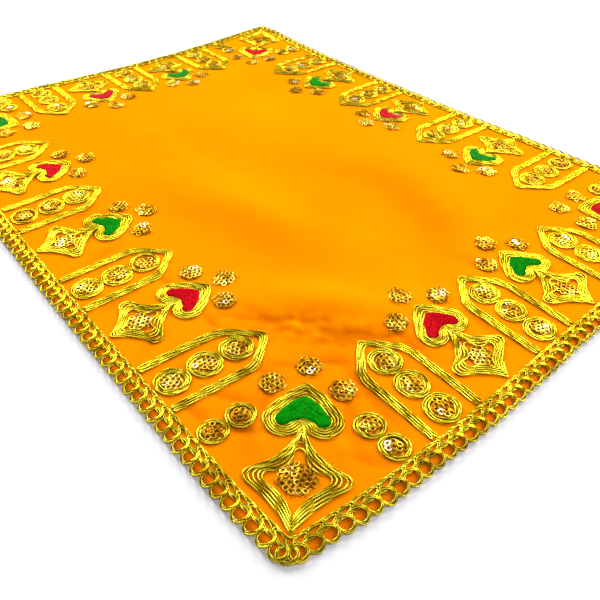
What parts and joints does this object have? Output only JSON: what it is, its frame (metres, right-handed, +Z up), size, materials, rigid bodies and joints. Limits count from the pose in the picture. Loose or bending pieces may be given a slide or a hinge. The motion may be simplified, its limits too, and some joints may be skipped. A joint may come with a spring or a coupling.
{
  "type": "embroidered altar cloth",
  "caption": "Rectangular cloth laid flat, with a looped ring edging and a raised border of corded arches, hearts, diamonds and circles.",
  "frame": {"origin": "middle of the bounding box at the underside, on the surface the cloth lies on", "axes": "+Z up from the surface, X along the long side, Y along the short side; the picture is taken from above the +X -Y corner"},
  "size_m": [0.4114, 0.3072, 0.0053],
  "materials": {
    "orange_cloth": "short smooth pile, soft sheen",
    "ring_braid": "looped metallic gold cord braid",
    "gold_cord": "couched metallic gold cord with gold sequins",
    "green_stitch": "green satin stitch",
    "red_stitch": "red satin stitch"
  },
  "bodies": {
    "root": {"ground_cloth": "orange_cloth", "ring_edging_front": "ring_braid", "ring_edging_right": "ring_braid", "ring_edging_back": "ring_braid", "ring_edging_left": "ring_braid", "circle_pair_front_1": "gold_cord", "circle_pair_front_2": "gold_cord", "circle_pair_right_1": "gold_cord", "circle_pair_right_2": "gold_cord", "circle_pair_back_1": "gold_cord", "circle_pair_back_2": "gold_cord", "circle_pair_left_1": "gold_cord", "circle_pair_left_2": "gold_cord", "arch_cord_front_1": "gold_cord", "arch_cord_front_2": "gold_cord", "arch_cord_front_3": "gold_cord", "arch_cord_front_4": "gold_cord", "arch_cord_right_1": "gold_cord", "arch_cord_right_2": "gold_cord", "arch_cord_right_3": "gold_cord", "arch_cord_back_1": "gold_cord", "arch_cord_back_2": "gold_cord", "arch_cord_back_3": "gold_cord", "arch_cord_back_4": "gold_cord", "arch_cord_left_1": "gold_cord", "arch_cord_left_2": "gold_cord", "arch_cord_left_3": "gold_cord", "heart_cord_front_1": "gold_cord", "heart_fill_front_1": "red_stitch", "heart_cord_front_2": "gold_cord", "heart_fill_front_2": "green_stitch", "heart_cord_front_3": "gold_cord", "heart_fill_front_3": "red_stitch", "heart_cord_right_1": "gold_cord", "heart_fill_right_1": "red_stitch", "heart_cord_right_2": "gold_cord", "heart_fill_right_2": "green_stitch", "heart_cord_back_1": "gold_cord", "heart_fill_back_1": "green_stitch", "heart_cord_back_2": "gold_cord", "heart_fill_back_2": "red_stitch", "heart_cord_back_3": "gold_cord", "heart_fill_back_3": "green_stitch", "heart_cord_left_1": "gold_cord", "heart_fill_left_1": "red_stitch", "heart_cord_left_2": "gold_cord", "heart_fill_left_2": "green_stitch", "heart_cord_front_right": "gold_cord", "heart_fill_front_right": "green_stitch", "heart_cord_front_left": "gold_cord", "heart_fill_front_left": "green_stitch", "heart_cord_back_right": "gold_cord", "heart_fill_back_right": "red_stitch", "heart_cord_back_left": "gold_cord", "heart_fill_back_left": "red_stitch"}
  },
  "joints": []
}
